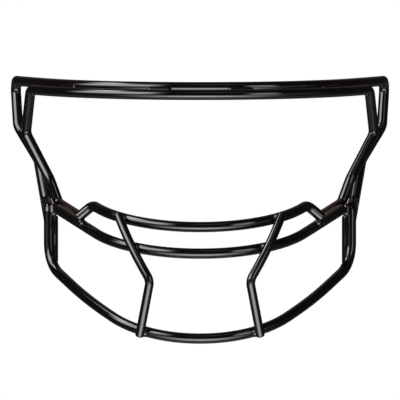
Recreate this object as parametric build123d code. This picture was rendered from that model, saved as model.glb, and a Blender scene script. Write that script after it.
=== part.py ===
from build123d import *

import os
from math import cos, pi, radians, sin, tan

# Football helmet facemask of bent and welded round wire.
# The origin is the middle of the upper brow bar, +Z is up and the mask faces -Y.
# Every place is written for the +X half: outward, back from the brow, and up.

# Wire stock, with the coating on both sides of the steel
main_wire_steel = 6.35
thin_wire_steel = 5.36
coat_thickness = 0.2
main_wire_od = main_wire_steel + 2 * coat_thickness
thin_wire_od = thin_wire_steel + 2 * coat_thickness
end_round = 1.2

# Root gap of a weld: wires that are welded lie this far apart
weld_root_gap = 0.05
wire_spacing = main_wire_od + weld_root_gap
thin_spacing = (main_wire_od + thin_wire_od) / 2 + weld_root_gap

# Upper brow: an arc in plan with straight arms, tilted up towards the temples
brow_flat = 4.0
brow_plan_radius = 118.0
brow_arm_angle = 58.0
upper_brow_tilt = 3.3
temple_half_width = 121.1
temple_run = 13.5
temple_splay_angle = 8.0
arm_bend_radius = 14.0
temple_bend_radius = 7.0

# Side of the perimeter wire, from the temple down to the jaw
side_foot = (119.1, 87.0, -24.7)
cheek_bend = (105.2, 75.0, -47.6)
shoulder_overhang = 1.9
shoulder_setback = 11.9
shoulder_drop = 73.2
jaw_top_drop = 78.2
side_bend_radius = 12.0
cheek_bend_radius = 12.0
shoulder_bend_radius = 5.0
jaw_half_width = 98.4

# Chin bar: a wide U in a tilted plane, with legs that bend once more on their way to the jaw
chin_front = 35.0
chin_drop = 162.4
chin_tilt = 29.4
chin_bend_radius = 70.0
chin_leg_angle = 53.5
chin_outer_leg_angle = 61.6
chin_leg_bend_half_width = 73.4
chin_leg_bend_radius = 300.0
jaw_bend_radius = 22.0

# Lower brow: in front of and below the upper one, with its own turn down inside the temples
brow_pair_angle = 45.0
brow_pair_gap = 0.36
lower_brow_tilt = 3.6
lower_temple_inset = 10.6
lower_temple_bend_radius = 6.0
lower_side_foot = (113.8, 77.0, -29.4)
lower_side_bend_radius = 5.0
lower_cheek_bend = (98.0, 61.0, -59.5)
lower_tail_bend_radius = 4.5

# Nose bar and mid bar: two U bars in parallel tilted planes
bar_tilt = 18.3
bar_flat = 1.0
bar_bend_radius = 75.0
bar_leg_angle = 63.1
nose_bar_front = 34.0
nose_bar_drop = 90.5
nose_kink_half_width = 69.4
nose_kink_radius = 6.0
nose_end = (79.4, 11.0, -84.2)
mid_bar_front = 40.0
mid_bar_drop = 107.6

# Ends of the lower brow wire along the legs of the mid bar
tail_span = 14.4
tail_clock = 85.0

# Centre guards: thin wires in front of the nose bar, the mid bar and the chin bar
guard_top = (53.2, -21.0, -82.0)
guard_middle = (44.2, -36.0, -104.2)
guard_bend = (32.2, -44.0, -125.0)
guard_foot = (39.1, -32.0, -161.2)
guard_middle_radius = 150.0
guard_bend_radius = 7.0

# Side braces behind the cheeks and second uprights behind the jaw
brace_top = (105.7, 80.5, -46.8)
brace_foot_setback = 16.0
brace_foot_drop = 87.4
jaw_pair_angle = 22.0
jaw_upright_top_gap = 5.0
jaw_upright_foot_rise = 0.5

# Weld beads lie in the groove between two wires. A station is a length along the first wire
bead_radius_share = 0.40
crossing_bead_length = 3.6
brow_bead_inner_station = 26.0
brow_bead_outer_station = 92.0
brow_bead_length = 12.0
cheek_bead_length = 14.0
tail_bead_station = 10.5
tail_bead_length = 12.0
jaw_bead_upper_station = 7.0
jaw_bead_lower_station = 26.0
jaw_bead_length = 8.0

# Rounds of the search that seats one wire on another
seating_rounds = 14


def centreline(points, radii):
    """A bent wire's centreline: straight runs joined by tangent arcs, one radius for each corner."""
    points = [Vector(*point) for point in points]
    edges = []
    start = points[0]
    for before, corner, after, radius in zip(points, points[1:], points[2:], radii):
        back = (before - corner).normalized()
        ahead = (after - corner).normalized()
        half_turn = (pi - radians(back.get_angle(ahead))) / 2
        reach = radius * tan(half_turn)
        rise = radius / cos(half_turn) - radius
        crown = corner + (back + ahead).normalized() * rise
        edges.append(Edge.make_line(start, corner + back * reach))
        edges.append(Edge.make_three_point_arc(corner + back * reach, crown, corner + ahead * reach))
        start = corner + ahead * reach
    edges.append(Edge.make_line(start, points[-1]))
    return Wire(edges)


def wire_solid(path, diameter):
    """Round wire along a centreline."""
    section = Plane(origin=path @ 0, z_dir=path % 0) * Circle(diameter / 2)
    return sweep(section, path=path)


def rounded_end(solid, point):
    """Round the cut end of a wire at a point of its centreline."""
    end_edge = solid.edges().filter_by(GeomType.CIRCLE).sort_by_distance(point)[0]
    return fillet(end_edge, end_round)


def mirrored(shape):
    """The same piece on the other half of the mask."""
    return shape.mirror(Plane.YZ)


def seat(points, radii, contacts):
    """Move chosen corners of a wire until it touches each carrier.

    Each contact holds the carrier's centreline, the spacing, the direction that leads away
    from the carrier, and the numbers of the corners that move.
    """
    points = [Vector(*point) for point in points]
    for _ in range(seating_rounds):
        for carrier, spacing, away, corners in contacts:
            excess = centreline(points, radii).distance_to(carrier) - spacing
            for corner in corners:
                points[corner] = points[corner] - away.normalized() * excess
    return points


def tilted(front, drop, tilt, outward, back):
    """A place in a plane that rises towards the back from a level front line."""
    return Vector(outward, back * cos(radians(tilt)) - front, back * sin(radians(tilt)) - drop)


def brow_points(ahead, drop, tilt, end_half_width):
    """Half of a brow bar: middle, arc corner and arm end."""
    arm_slope = tan(radians(brow_arm_angle))
    corner = brow_flat / 2 + (brow_plan_radius + ahead) * tan(radians(brow_arm_angle / 2))
    arm_end = (end_half_width - corner) * arm_slope - ahead
    rise = tan(radians(tilt))
    return [
        Vector(0, -ahead, -drop),
        Vector(corner, -ahead, -drop),
        Vector(end_half_width, arm_end, (arm_end + ahead) * rise - drop),
    ]


def chin_points():
    """Half of the chin bar: jaw bend, leg bend, arc corner and middle."""
    corner = bar_flat / 2 + chin_bend_radius * tan(radians(chin_leg_angle / 2))
    leg_back = (chin_leg_bend_half_width - corner) * tan(radians(chin_leg_angle))
    outer_run = jaw_half_width - chin_leg_bend_half_width
    jaw_back = leg_back + outer_run * tan(radians(chin_outer_leg_angle))
    return [
        tilted(chin_front, chin_drop, chin_tilt, jaw_half_width, jaw_back),
        tilted(chin_front, chin_drop, chin_tilt, chin_leg_bend_half_width, leg_back),
        tilted(chin_front, chin_drop, chin_tilt, corner, 0),
        tilted(chin_front, chin_drop, chin_tilt, 0, 0),
    ]


def side_points():
    """The perimeter wire's side: temple arm end, temple, side foot, cheek bend and jaw shoulder."""
    splay = radians(temple_splay_angle)
    arm_end_half_width = temple_half_width - temple_run * sin(splay)
    arm_end = brow_points(0, 0, upper_brow_tilt, arm_end_half_width)[-1]
    back = temple_run * cos(splay)
    temple = Vector(temple_half_width, arm_end.Y + back, arm_end.Z + back * tan(radians(upper_brow_tilt)))
    shoulder_back = chin_points()[0].Y + shoulder_setback
    shoulder = Vector(jaw_half_width + shoulder_overhang, shoulder_back, -shoulder_drop)
    return [arm_end, temple, Vector(*side_foot), Vector(*cheek_bend), shoulder]


def perimeter_half():
    """Corners and radii of the closed outer loop, from the brow's middle to the chin's middle."""
    chin = chin_points()
    jaw_top = Vector(jaw_half_width, chin[0].Y, -jaw_top_drop)
    brow = brow_points(0, 0, upper_brow_tilt, temple_half_width)[:2]
    radii = [
        brow_plan_radius,
        arm_bend_radius,
        temple_bend_radius,
        side_bend_radius,
        cheek_bend_radius,
        shoulder_bend_radius,
        shoulder_bend_radius,
        jaw_bend_radius,
        chin_leg_bend_radius,
        chin_bend_radius,
    ]
    return brow + side_points() + [jaw_top] + chin, radii


def cheek_half():
    """The part of the perimeter wire's side that the lower brow wire follows."""
    return side_points()[1:], [side_bend_radius, cheek_bend_radius]


def bar_points(front, drop, half_width):
    """Half of a U bar: middle, arc corner and a place on its straight leg."""
    corner = bar_flat / 2 + bar_bend_radius * tan(radians(bar_leg_angle / 2))
    back = (half_width - corner) * tan(radians(bar_leg_angle))
    return [
        tilted(front, drop, bar_tilt, 0, 0),
        tilted(front, drop, bar_tilt, corner, 0),
        tilted(front, drop, bar_tilt, half_width, back),
    ]


def beside(point, direction, clock, spacing):
    """The place one spacing from a wire, at a clock angle from straight up towards the back."""
    along = direction.normalized()
    up = (Vector(0, 0, 1) - along * along.Z).normalized()
    back = up.cross(along)
    back = back if back.Y > 0 else back * -1
    return point + (up * cos(radians(clock)) + back * sin(radians(clock))) * spacing


def mid_bar_half(perimeter_path):
    """The mid bar ends where its leg meets the inside of the jaw."""
    points = bar_points(mid_bar_front, mid_bar_drop, jaw_half_width - wire_spacing)
    inward = points[1] - points[2]
    contact = (perimeter_path, wire_spacing, inward, [2])
    return seat(points, [bar_bend_radius], [contact]), [bar_bend_radius]


def nose_bar_half(mid_path):
    """The nose bar's legs turn down at a kink and end on the legs of the mid bar."""
    points = bar_points(nose_bar_front, nose_bar_drop, nose_kink_half_width) + [Vector(*nose_end)]
    radii = [bar_bend_radius, nose_kink_radius]
    contact = (mid_path, wire_spacing, Vector(0, -1, 1), [3])
    return seat(points, radii, [contact]), radii


def lower_brow_half(cheek_path, mid_points):
    """The lower brow wire: brow, side run, cheek and the tail that lies along the mid bar."""
    spacing = main_wire_od + brow_pair_gap
    ahead = spacing * sin(radians(brow_pair_angle))
    drop = spacing * cos(radians(brow_pair_angle))
    brow = brow_points(ahead, drop, lower_brow_tilt, temple_half_width - lower_temple_inset)
    side = [brow[-1], lower_side_foot, lower_cheek_bend]
    contact = (cheek_path, wire_spacing, Vector(0, -1, 0), [1, 2])
    side = seat(side, [lower_side_bend_radius], [contact])
    leg = mid_points[-1] - mid_points[-2]
    tail = [
        beside(bar_points(mid_bar_front, mid_bar_drop, place)[-1], leg, tail_clock, wire_spacing)
        for place in (jaw_half_width, jaw_half_width - tail_span)
    ]
    radii = [
        brow_plan_radius + ahead,
        lower_temple_bend_radius,
        lower_side_bend_radius,
        cheek_bend_radius,
        lower_tail_bend_radius,
    ]
    return brow[:-1] + side + tail, radii


def guard_half(nose_path, mid_path, chin_path):
    """A centre guard: seated in front of the nose bar, the mid bar and the chin bar."""
    points = [guard_top, guard_middle, guard_bend, guard_foot]
    radii = [guard_middle_radius, guard_bend_radius]
    forward = Vector(0, -1, 0)
    contacts = [
        (nose_path, thin_spacing, forward, [0]),
        (mid_path, thin_spacing, forward, [1, 2]),
        (chin_path, thin_spacing, forward, [3]),
    ]
    return seat(points, radii, contacts), radii


def jaw_upright_points(chin_corner):
    """The second upright stands behind and inside the perimeter wire's upright."""
    outward = jaw_half_width - wire_spacing * sin(radians(jaw_pair_angle))
    back = chin_corner.Y + wire_spacing * cos(radians(jaw_pair_angle))
    return [
        Vector(outward, back, -jaw_top_drop - jaw_upright_top_gap),
        Vector(outward, back, chin_corner.Z + jaw_upright_foot_rise),
    ]


def brace_points(perimeter_path, upright_path):
    """A straight strut behind the cheek, from the perimeter wire to the second upright."""
    brace_foot = (jaw_half_width, chin_points()[0].Y + brace_foot_setback, -brace_foot_drop)
    backward = Vector(0, 1, 0)
    contacts = [
        (perimeter_path, wire_spacing, backward, [0]),
        (upright_path, wire_spacing, backward, [1]),
    ]
    return seat([brace_top, brace_foot], [], contacts)


def nearest_place(path, other):
    """Middle of the closest approach of two wires, and the first wire's direction there."""
    _, near, far = path.distance_to_with_closest_points(other)
    return (near + far) / 2, path % path.param_at_point(near)


def station_place(path, other, station):
    """Middle between two wires at a length along the first, and the first wire's direction there."""
    share = station / path.length
    _, far, near = other.distance_to_with_closest_points(path @ share)
    return (near + far) / 2, path % share


def bead(place, length, *wires):
    """A round-ended weld bead along the groove at a place, cut back to the wires beside it."""
    middle, direction = place
    radius = bead_radius_share * main_wire_od
    blank = Plane(origin=middle, z_dir=direction) * Cylinder(radius, length)
    for end in (-1, 1):
        blank += Pos(middle + direction.normalized() * end * length / 2) * Sphere(radius)
    return blank.cut(*wires).solids().sort_by(SortBy.VOLUME)[-1]


def crossing_bead(carrier_path, other_path, *wires):
    """A short bead along a wire where another one crosses it or ends on it."""
    return bead(nearest_place(carrier_path, other_path), crossing_bead_length, *wires)


def save(name, *shapes):
    """Write one node, with several solids where the node is a group."""
    solids = [solid for shape in shapes for solid in shape.solids()]
    node = Compound(label=name, children=solids) if len(solids) > 1 else solids[0]
    export_step(node, os.path.join("parts", name + ".step"))


def save_pair(name, *shapes):
    """Write a piece of the +X half and its mirror image."""
    save(name + "_right", *shapes)
    save(name + "_left", *[mirrored(shape) for shape in shapes])


def wire_halves():
    """Corners and centreline of each wire's +X half, in the order in which they are seated."""
    corners, paths = {}, {}

    def keep(name, points, radii):
        corners[name] = points
        paths[name] = centreline(points, radii)

    keep("perimeter", *perimeter_half())
    keep("cheek", *cheek_half())
    keep("mid", *mid_bar_half(paths["perimeter"]))
    keep("nose", *nose_bar_half(paths["mid"]))
    keep("lower", *lower_brow_half(paths["cheek"], corners["mid"]))
    keep("guard", *guard_half(paths["nose"], paths["mid"], paths["perimeter"]))
    keep("upright", jaw_upright_points(chin_points()[0]), [])
    keep("brace", brace_points(paths["perimeter"], paths["upright"]), [])
    return corners, paths


def wire_solids(corners, paths):
    """The wires' +X halves, with rounded ends where a wire is cut."""
    wires = {"perimeter": wire_solid(paths["perimeter"], main_wire_od)}
    for name in ("lower", "nose", "mid"):
        wires[name] = rounded_end(wire_solid(paths[name], main_wire_od), corners[name][-1])
    for name, diameter in (("guard", thin_wire_od), ("upright", main_wire_od), ("brace", main_wire_od)):
        wires[name] = wire_solid(paths[name], diameter)
        for end in (0, -1):
            wires[name] = rounded_end(wires[name], corners[name][end])
    return wires


def save_wires(wires):
    """Write the wires: some cross the middle, the others stand in pairs."""
    for name, key in (
        ("perimeter_wire", "perimeter"),
        ("lower_brow_wire", "lower"),
        ("nose_bar", "nose"),
        ("mid_bar", "mid"),
    ):
        save(name, wires[key] + mirrored(wires[key]))
    save_pair("centre_guard", wires["guard"])
    save_pair("jaw_upright", wires["upright"])
    save_pair("side_brace", wires["brace"])


def save_long_welds(paths, wires):
    """Write the beads in the grooves between wires that run side by side."""
    perimeter, lower = wires["perimeter"], wires["lower"]
    brow_places = [
        station_place(paths["perimeter"], paths["lower"], station)
        for station in (brow_bead_inner_station, brow_bead_outer_station)
    ]
    brow_beads = [bead(place, brow_bead_length, perimeter, lower) for place in brow_places]
    save("brow_welds", *brow_beads, *[mirrored(shape) for shape in brow_beads])
    cheek_place = nearest_place(paths["cheek"], paths["lower"])
    save_pair("cheek_weld", bead(cheek_place, cheek_bead_length, perimeter, lower))
    tail_place = station_place(paths["lower"], paths["mid"], paths["lower"].length - tail_bead_station)
    tail_bead = bead(tail_place, tail_bead_length, lower, wires["mid"], wires["nose"])
    save_pair("lower_brow_end_weld", tail_bead)
    jaw_beads = [
        bead(
            station_place(paths["upright"], paths["perimeter"], station),
            jaw_bead_length,
            wires["upright"],
            perimeter,
            wires["mid"],
        )
        for station in (jaw_bead_upper_station, jaw_bead_lower_station)
    ]
    save_pair("jaw_upright_weld", *jaw_beads)


def save_crossing_welds(paths, wires):
    """Write the short beads where a wire crosses another one or ends on it."""
    for name, carrier, other, neighbours in (
        ("nose_bar_end_weld", "mid", "nose", ["lower"]),
        ("mid_bar_end_weld", "perimeter", "mid", ["upright", "lower"]),
        ("guard_nose_weld", "nose", "guard", []),
        ("guard_mid_weld", "mid", "guard", []),
        ("guard_chin_weld", "perimeter", "guard", []),
        ("brace_top_weld", "perimeter", "brace", ["lower", "upright"]),
        ("brace_foot_weld", "upright", "brace", ["perimeter"]),
    ):
        beside_bead = [wires[key] for key in [carrier, other] + neighbours]
        save_pair(name, crossing_bead(paths[carrier], paths[other], *beside_bead))


def main():
    os.makedirs("parts", exist_ok=True)
    corners, paths = wire_halves()
    wires = wire_solids(corners, paths)
    save_wires(wires)
    save_long_welds(paths, wires)
    save_crossing_welds(paths, wires)


main()
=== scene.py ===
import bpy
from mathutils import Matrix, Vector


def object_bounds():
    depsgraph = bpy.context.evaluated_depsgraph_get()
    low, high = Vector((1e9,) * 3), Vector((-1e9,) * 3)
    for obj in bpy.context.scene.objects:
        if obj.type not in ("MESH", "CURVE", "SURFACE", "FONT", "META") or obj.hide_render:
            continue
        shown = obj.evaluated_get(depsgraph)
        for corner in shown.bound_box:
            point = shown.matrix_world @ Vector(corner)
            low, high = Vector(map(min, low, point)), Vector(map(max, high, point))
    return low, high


bl_info = {
    "name": "Football helmet facemask",
    "version": (1, 0, 0),
    "blender": (4, 5, 0),
    "location": "3D View > Sidebar > Facemask",
    "description": "Gloss black powder coat, weld finish and a studio for a welded wire facemask",
    "category": "Object",
}

from math import cos, radians, sin

import bpy
from mathutils import Vector

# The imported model: every node keeps its place and its shape
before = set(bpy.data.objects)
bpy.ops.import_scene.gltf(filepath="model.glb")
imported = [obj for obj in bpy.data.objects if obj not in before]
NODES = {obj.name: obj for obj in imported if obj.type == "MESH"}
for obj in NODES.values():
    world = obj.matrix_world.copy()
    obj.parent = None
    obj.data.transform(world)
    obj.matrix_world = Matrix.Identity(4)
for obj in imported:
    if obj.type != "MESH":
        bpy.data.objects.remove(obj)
CAD_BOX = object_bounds()
MIDDLE = (CAD_BOX[0] + CAD_BOX[1]) / 2

WIRES = ("perimeter_wire", "lower_brow_wire", "nose_bar", "mid_bar")
GUARDS = ("centre_guard_left", "centre_guard_right")
STRUTS = ("side_brace_left", "side_brace_right", "jaw_upright_left", "jaw_upright_right")
# The upper brow bar's low highlight is whole in the photo, so the bar below it isn't mirrored in it
UNMIRRORED = ("lower_brow_wire", "brow_welds")

# Where a noise between 0 and 1 starts to show as a mark, and where it shows in full
DULL_RANGE = (0.45, 0.75)
HANDLED_RANGE = (0.40, 0.80)
SPECK_RANGE = (0.70, 0.80)
# What the marks add to the coat's roughness, and how far they turn its colour to the marked colour
DULL_ROUGHNESS = 0.03
SPECK_ROUGHNESS = 0.05
HANDLED_TONE = 0.35
SPECK_TONE = 0.45
# Detail of each noise, and how rough the dull patches' outlines are
PEEL_DETAIL = 1.0
WAVE_DETAIL = 2.0
SCUFF_DETAIL = 4.0
SCUFF_OUTLINE = 0.65
SPECK_DETAIL = 0.0
# A wave texture of scale 1 repeats after this length, and a weld's ripples wander by these values
WAVE_PERIOD = 0.314
RIPPLE_WANDER = {"Distortion": 2.2, "Detail": 1.0, "Detail Scale": 1.5}

# Azimuth from -Y towards +X, elevation, width and height, in degrees, then the glow,
# and the share of the width and height over which an edge fades
PANELS = {
    "key_panel": (-54, 32, 68, 46, 8.0, 0.24),
    "key_fill_panel": (-52, 4, 70, 26, 0.9, 0.45),
    "side_strip": (-82, 57, 50, 18, 13.0, 0.40),
    "top_strip": (-58, 60, 90, 10, 1.6, 0.35),
    "right_panel": (38, 14, 26, 50, 3.2, 0.30),
    "right_fill_panel": (60, 2, 44, 34, 0.5, 0.45),
    "low_panel": (0, -34, 130, 62, 8.8, 0.50),
    "brow_panel": (12, 56, 60, 16, 0.9, 0.40),
}
PANEL_COLUMNS = 32
PANEL_ROWS = 20

FLOOR_GREYS = ((0.80, 0.80, 0.80), (0.84, 0.84, 0.84))
FLOOR_GRAIN_SIZE = 0.6
FLOOR_GRAIN_DETAIL = 2.0
# Share of the floor's own colour that the camera sees without light and shadow
FLOOR_PLAIN_SHARE = 0.85

# A mirrored ray's Y where it starts to meet the white backdrop, and where it meets it in full
BACKDROP_RANGE = (0.985, 0.998)
ROOM_COLOUR = (0.050, 0.046, 0.045)
# The room is warmer high at the back, by the sum of a ray's Y and Z
WARM_COLOUR = (0.26, 0.165, 0.14)
WARM_RANGE = (1.22, 1.39)
# The camera sees from its distance divided by this up to its distance times this
CLIP_RATIO = 10


class Socket:
    """A node's output. Sums, products and powers of sockets add the Math nodes that they need."""

    def __init__(self, tree, output):
        self.tree = tree
        self.output = output

    @classmethod
    def of(cls, tree, kind, settings=None, inputs=None, output=0):
        """Add a node, give it its settings, then the values or links of its sockets."""
        made = tree.nodes.new(kind)
        for name, value in (settings or {}).items():
            setattr(made, name, value)
        for key, value in (inputs or {}).items():
            if isinstance(value, Socket):
                tree.links.new(value.output, made.inputs[key])
            else:
                made.inputs[key].default_value = value
        return cls(tree, made.outputs[output])

    def math(self, operation, *values):
        """Add one Math node."""
        settings = {"operation": operation}
        return Socket.of(self.tree, "ShaderNodeMath", settings, dict(enumerate(values)))

    def __add__(self, other):
        return self.math("ADD", self, other)

    def __sub__(self, other):
        return self.math("SUBTRACT", self, other)

    def __rsub__(self, other):
        return self.math("SUBTRACT", other, self)

    def __mul__(self, other):
        return self.math("MULTIPLY", self, other)

    __radd__ = __add__
    __rmul__ = __mul__

    def step(self, low, high):
        """0 below low, 1 above high, and smooth between them."""
        settings = {"interpolation_type": "SMOOTHSTEP"}
        inputs = {"Value": self, "From Min": low, "From Max": high}
        return Socket.of(self.tree, "ShaderNodeMapRange", settings, inputs)

    def blend(self, first, second):
        """The first colour at 0, the second at 1."""
        inputs = {"Factor": self, 6: (*first, 1), 7: (*second, 1)}
        return Socket.of(self.tree, "ShaderNodeMix", {"data_type": "RGBA"}, inputs, output=2)


def noise(tree, place, size, detail, roughness=0.5):
    """Noise whose lumps are about one size across, in metres."""
    inputs = {"Vector": place, "Scale": 1 / size, "Detail": detail, "Roughness": roughness}
    return Socket.of(tree, "ShaderNodeTexNoise", {}, inputs)


def new_material(name):
    """A material with an empty tree, ready for its nodes."""
    material = bpy.data.materials.new(name)
    material.use_nodes = True
    material.node_tree.nodes.clear()
    return material, material.node_tree


def finish_surface(tree, shader, kind="ShaderNodeOutputMaterial"):
    """Link the last shader to the tree's output."""
    tree.links.new(shader.output, tree.nodes.new(kind).inputs["Surface"])


def add_object(name, data):
    """A new object in the scene's own collection."""
    made = bpy.data.objects.new(name, data)
    bpy.context.scene.collection.objects.link(made)
    return made


def powder_coat(name, coat, ripple=None):
    """Gloss black powder coat over bent wire: orange peel, slow waves and faint handling marks."""
    material, tree = new_material(name)
    place = Socket.of(tree, "ShaderNodeTexCoord", output="Object")
    peel = noise(tree, place, coat.peel_size, PEEL_DETAIL)
    waves = noise(tree, place, coat.wave_size, WAVE_DETAIL)
    scuffs = noise(tree, place, coat.scuff_size, SCUFF_DETAIL, SCUFF_OUTLINE)
    specks = noise(tree, place, coat.speck_size, SPECK_DETAIL).step(*SPECK_RANGE)
    dull = scuffs.step(*DULL_RANGE)
    roughness = coat.roughness + DULL_ROUGHNESS * dull + SPECK_ROUGHNESS * specks
    tone = scuffs.step(*HANDLED_RANGE) * HANDLED_TONE + specks * SPECK_TONE
    colour = tone.blend(coat.colour, coat.worn_colour)
    height = peel * coat.peel_height + waves * coat.wave_height
    if ripple is not None:
        roughness = roughness + ripple.roughness
        inputs = {"Vector": place, "Scale": WAVE_PERIOD / ripple.pitch, **RIPPLE_WANDER}
        settings = {"bands_direction": ripple.direction}
        bands = Socket.of(tree, "ShaderNodeTexWave", settings, inputs, output="Fac")
        height = height + bands * ripple.height
    inputs = {"Strength": 1.0, "Distance": 1.0, "Height": height}
    normal = Socket.of(tree, "ShaderNodeBump", {}, inputs)
    inputs = {"Base Color": colour, "Roughness": roughness, "Normal": normal, "IOR": coat.ior}
    finish_surface(tree, Socket.of(tree, "ShaderNodeBsdfPrincipled", {}, inputs))
    return material


def coat_nodes(names, material):
    """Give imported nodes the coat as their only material, and hide some of them from mirroring."""
    for name in names:
        mesh = NODES[name].data
        mesh.materials.clear()
        mesh.materials.append(material)
        NODES[name].visible_glossy = name not in UNMIRRORED


class CoatSizes(bpy.types.PropertyGroup):
    """The powder coat's colours and the sizes of its texture"""

    colour: bpy.props.FloatVectorProperty(
        name="Colour",
        description="Colour of the coat",
        default=(0.0008, 0.0008, 0.0008),
        subtype="COLOR",
        min=0,
        max=1,
    )
    worn_colour: bpy.props.FloatVectorProperty(
        name="Marked colour",
        description="Colour where the coat holds dust or was handled",
        default=(0.0040, 0.0035, 0.0032),
        subtype="COLOR",
        min=0,
        max=1,
    )
    roughness: bpy.props.FloatProperty(
        name="Roughness",
        description="Roughness of the clean coat",
        default=0.06,
        subtype="FACTOR",
        min=0,
        max=1,
    )
    ior: bpy.props.FloatProperty(
        name="Refractive index", description="Refractive index of the coat", default=1.5, min=1, max=3
    )
    peel_size: bpy.props.FloatProperty(
        name="Orange peel", description="Width of the orange peel's lumps", default=0.0014, unit="LENGTH"
    )
    peel_height: bpy.props.FloatProperty(
        name="Peel height", description="Height of the orange peel", default=0.0000012, unit="LENGTH"
    )
    wave_size: bpy.props.FloatProperty(
        name="Waves", description="Width of the slow waves left by bending", default=0.011, unit="LENGTH"
    )
    wave_height: bpy.props.FloatProperty(
        name="Wave height", description="Height of the slow waves", default=0.000016, unit="LENGTH"
    )
    scuff_size: bpy.props.FloatProperty(
        name="Scuffs", description="Width of the dull patches", default=0.006, unit="LENGTH"
    )
    speck_size: bpy.props.FloatProperty(
        name="Specks", description="Spacing of the small specks", default=0.0022, unit="LENGTH"
    )


class WeldSizes(bpy.types.PropertyGroup):
    """The ripples that a weld bead shows through the coat"""

    pitch: bpy.props.FloatProperty(
        name="Ripple pitch", description="Distance between two ripples", default=0.0016, unit="LENGTH"
    )
    height: bpy.props.FloatProperty(
        name="Ripple height", description="Height of a ripple", default=0.000012, unit="LENGTH"
    )
    roughness: bpy.props.FloatProperty(
        name="Weld roughness",
        description="Roughness that a weld adds to the coat's own",
        default=0.08,
        subtype="FACTOR",
        min=0,
        max=1,
    )
    direction: bpy.props.EnumProperty(
        name="Ripple direction",
        description="Axis that the ripples follow each other along",
        items=[("X", "Along X", ""), ("Y", "Along Y", ""), ("Z", "Along Z", "")],
        default="X",
    )


class StudioSizes(bpy.types.PropertyGroup):
    """Floor, light panels and camera"""

    floor_drop: bpy.props.FloatProperty(
        name="Floor drop", description="Floor below the brow bar", default=1.5, unit="LENGTH"
    )
    floor_width: bpy.props.FloatProperty(
        name="Floor width", description="Side of the square floor", default=24.0, unit="LENGTH"
    )
    panel_distance: bpy.props.FloatProperty(
        name="Panel distance",
        description="Distance of the nearest light panel from the mask's middle",
        default=1.3,
        unit="LENGTH",
    )
    panel_step: bpy.props.FloatProperty(
        name="Panel step",
        description="Distance from one panel to the next behind it",
        default=0.01,
        unit="LENGTH",
    )
    camera_distance: bpy.props.FloatProperty(
        name="Camera distance",
        description="Distance of the camera in front of the brow bar",
        default=8.0,
        unit="LENGTH",
    )
    view_width: bpy.props.FloatProperty(
        name="View width",
        description="Width that the image covers at the brow bar",
        default=0.25904,
        unit="LENGTH",
    )
    view_height: bpy.props.FloatProperty(
        name="View height",
        description="Height of the image's middle above the brow bar",
        default=-0.07305,
        unit="LENGTH",
    )


class FACEMASK_OT_wires(bpy.types.Operator):
    """Coat the perimeter wire, the lower brow wire and the two U bars"""

    bl_idname = "facemask.wires"
    bl_label = "Coat the main wires"

    def execute(self, context):
        coat_nodes(WIRES, powder_coat("black_coat_wire", context.scene.facemask_coat))
        return {"FINISHED"}


class FACEMASK_OT_guards(bpy.types.Operator):
    """Coat the two thin centre guards"""

    bl_idname = "facemask.guards"
    bl_label = "Coat the centre guards"

    def execute(self, context):
        coat_nodes(GUARDS, powder_coat("black_coat_guard", context.scene.facemask_coat))
        return {"FINISHED"}


class FACEMASK_OT_struts(bpy.types.Operator):
    """Coat the side braces and the second jaw uprights"""

    bl_idname = "facemask.struts"
    bl_label = "Coat the braces and uprights"

    def execute(self, context):
        coat_nodes(STRUTS, powder_coat("black_coat_strut", context.scene.facemask_coat))
        return {"FINISHED"}


class FACEMASK_OT_welds(bpy.types.Operator):
    """Coat the weld beads, whose ripples show through the coat"""

    bl_idname = "facemask.welds"
    bl_label = "Coat the welds"

    def execute(self, context):
        beads = [name for name in NODES if "weld" in name]
        if not beads:
            raise RuntimeError("the packed model has no weld nodes")
        coat = context.scene.facemask_coat
        coat_nodes(beads, powder_coat("black_coat_weld", coat, context.scene.facemask_weld))
        return {"FINISHED"}


def panel_material(name, glow):
    """A light panel that shines on its front only, softly towards its edges."""
    material, tree = new_material(name)
    edge = Socket.of(tree, "ShaderNodeAttribute", {"attribute_name": "glow"}, output="Fac")
    front = 1 - Socket.of(tree, "ShaderNodeNewGeometry", output="Backfacing")
    shine = Socket.of(tree, "ShaderNodeEmission", {}, {"Color": edge * front, "Strength": glow})
    clear = Socket.of(tree, "ShaderNodeBsdfTransparent")
    finish_surface(tree, Socket.of(tree, "ShaderNodeAddShader", {}, {0: shine, 1: clear}))
    return material


def smooth(share):
    """0 up to 0, 1 from 1 on, and smooth between them."""
    share = min(max(share, 0.0), 1.0)
    return share * share * (3 - 2 * share)


def light_panel(name, azimuth, elevation, width, height, glow, edge, distance):
    """A curved panel. Its place and its size are angles seen from the mask's middle."""
    places, shine = [], []
    for row in range(PANEL_ROWS + 1):
        for column in range(PANEL_COLUMNS + 1):
            u, v = column / PANEL_COLUMNS, row / PANEL_ROWS
            a = radians(azimuth + (u - 0.5) * width)
            e = radians(elevation + (v - 0.5) * height)
            away = Vector((sin(a) * cos(e), -cos(a) * cos(e), sin(e)))
            places.append(MIDDLE + distance * away)
            from_side, from_end = 0.5 - abs(u - 0.5), 0.5 - abs(v - 0.5)
            shine.append(smooth(from_side / edge) * smooth(from_end / edge))
    line = PANEL_COLUMNS + 1
    firsts = [row * line + column for row in range(PANEL_ROWS) for column in range(PANEL_COLUMNS)]
    faces = [(k, k + line, k + line + 1, k + 1) for k in firsts]
    mesh = bpy.data.meshes.new(name)
    mesh.from_pydata(places, [], faces)
    mesh.attributes.new("glow", "FLOAT", "POINT").data.foreach_set("value", shine)
    mesh.materials.append(panel_material(name, glow))
    panel = add_object(name, mesh)
    panel.visible_camera = False
    panel.visible_shadow = False


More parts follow.
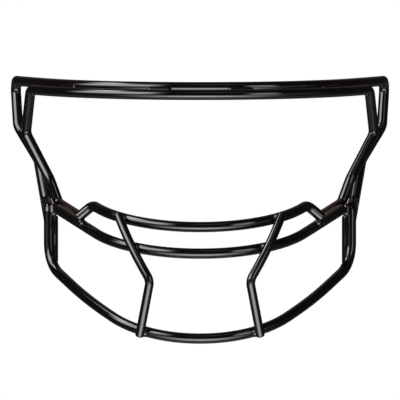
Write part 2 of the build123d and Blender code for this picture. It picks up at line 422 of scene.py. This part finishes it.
class FACEMASK_OT_studio(bpy.types.Operator):
    """Build the pale floor, the white background and the light panels"""

    bl_idname = "facemask.studio"
    bl_label = "Build the studio"

    def execute(self, context):
        sizes = context.scene.facemask_studio
        for number, (name, shape) in enumerate(PANELS.items()):
            light_panel(name, *shape, sizes.panel_distance + number * sizes.panel_step)
        self.floor(sizes)
        self.background(context.scene)
        return {"FINISHED"}

    def floor(self, sizes):
        """A wide pale floor far below, even to the camera but for a little light and shadow."""
        half = sizes.floor_width / 2
        sides = ((-half, -half), (half, -half), (half, half), (-half, half))
        mesh = bpy.data.meshes.new("floor")
        mesh.from_pydata([(x, y, -sizes.floor_drop) for x, y in sides], [], [(0, 1, 2, 3)])
        material, tree = new_material("pale_floor")
        place = Socket.of(tree, "ShaderNodeTexCoord", output="Object")
        tint = noise(tree, place, FLOOR_GRAIN_SIZE, FLOOR_GRAIN_DETAIL).blend(*FLOOR_GREYS)
        paint = Socket.of(tree, "ShaderNodeBsdfDiffuse", {}, {"Color": tint})
        plain = Socket.of(tree, "ShaderNodeEmission", {}, {"Color": tint, "Strength": 1.0})
        seen = Socket.of(tree, "ShaderNodeLightPath", output="Is Camera Ray")
        inputs = {0: seen * FLOOR_PLAIN_SHARE, 1: paint, 2: plain}
        finish_surface(tree, Socket.of(tree, "ShaderNodeMixShader", {}, inputs))
        mesh.materials.append(material)
        floor = add_object("floor", mesh)

    def background(self, scene):
        """White to the camera, a white backdrop behind the mask, and a dim room elsewhere."""
        world = bpy.data.worlds.new("studio")
        world.use_nodes = True
        scene.world = world
        tree = world.node_tree
        tree.nodes.clear()
        towards = Socket.of(tree, "ShaderNodeTexCoord", output="Generated")
        back = Socket.of(tree, "ShaderNodeSeparateXYZ", {}, {0: towards}, output="Y")
        up = Socket.of(tree, "ShaderNodeSeparateXYZ", {}, {0: towards}, output="Z")
        camera, gloss, clear = (
            Socket.of(tree, "ShaderNodeLightPath", output=f"Is {kind} Ray")
            for kind in ("Camera", "Glossy", "Transmission")
        )
        white = camera + (gloss + clear) * back.step(*BACKDROP_RANGE) * (1 - camera)
        walls = (back + up).step(*WARM_RANGE).blend(ROOM_COLOUR, WARM_COLOUR)
        room, paper = (
            Socket.of(tree, "ShaderNodeBackground", {}, {"Color": colour, "Strength": 1.0})
            for colour in (walls, (1, 1, 1, 1))
        )
        shader = Socket.of(tree, "ShaderNodeMixShader", {}, {0: white, 1: room, 2: paper})
        finish_surface(tree, shader, "ShaderNodeOutputWorld")


class FACEMASK_OT_camera(bpy.types.Operator):
    """Put the camera straight in front of the mask"""

    bl_idname = "facemask.camera"
    bl_label = "Place the camera"

    def execute(self, context):
        sizes = context.scene.facemask_studio
        lens = bpy.data.cameras.new("camera")
        lens.lens = lens.sensor_width * sizes.camera_distance / sizes.view_width
        lens.clip_start = sizes.camera_distance / CLIP_RATIO
        lens.clip_end = sizes.camera_distance * CLIP_RATIO
        camera = add_object("camera", lens)
        camera.location = (0, -sizes.camera_distance, sizes.view_height)
        camera.rotation_euler = (radians(90), 0, 0)
        context.scene.camera = camera
        context.scene.view_settings.view_transform = "Standard"
        return {"FINISHED"}


class FACEMASK_PT_panel(bpy.types.Panel):
    """The facemask's finishes and its studio"""

    bl_idname = "FACEMASK_PT_panel"
    bl_label = "Facemask"
    bl_space_type = "VIEW_3D"
    bl_region_type = "UI"
    bl_category = "Facemask"

    def draw(self, context):
        scene = context.scene
        for group in (scene.facemask_coat, scene.facemask_weld, scene.facemask_studio):
            box = self.layout.box()
            for name in group.__annotations__:
                box.prop(group, name)
        for operator in OPERATORS:
            self.layout.operator(operator.bl_idname)


OPERATORS = (
    FACEMASK_OT_wires,
    FACEMASK_OT_guards,
    FACEMASK_OT_struts,
    FACEMASK_OT_welds,
    FACEMASK_OT_studio,
    FACEMASK_OT_camera,
)
GROUPS = {
    "facemask_coat": CoatSizes,
    "facemask_weld": WeldSizes,
    "facemask_studio": StudioSizes,
}


def register():
    """Register the properties, the operators and the panel."""
    for group in GROUPS.values():
        bpy.utils.register_class(group)
    for name, group in GROUPS.items():
        setattr(bpy.types.Scene, name, bpy.props.PointerProperty(type=group))
    for operator in OPERATORS:
        bpy.utils.register_class(operator)
    bpy.utils.register_class(FACEMASK_PT_panel)


def unregister():
    """Take away what register added."""
    bpy.utils.unregister_class(FACEMASK_PT_panel)
    for operator in reversed(OPERATORS):
        bpy.utils.unregister_class(operator)
    for name, group in GROUPS.items():
        delattr(bpy.types.Scene, name)
        bpy.utils.unregister_class(group)


def main():
    """Register the add-on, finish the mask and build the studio."""
    register()
    bpy.ops.facemask.wires()
    bpy.ops.facemask.guards()
    bpy.ops.facemask.struts()
    bpy.ops.facemask.welds()
    bpy.ops.facemask.studio()
    bpy.ops.facemask.camera()


if __name__ == "__main__":
    main()
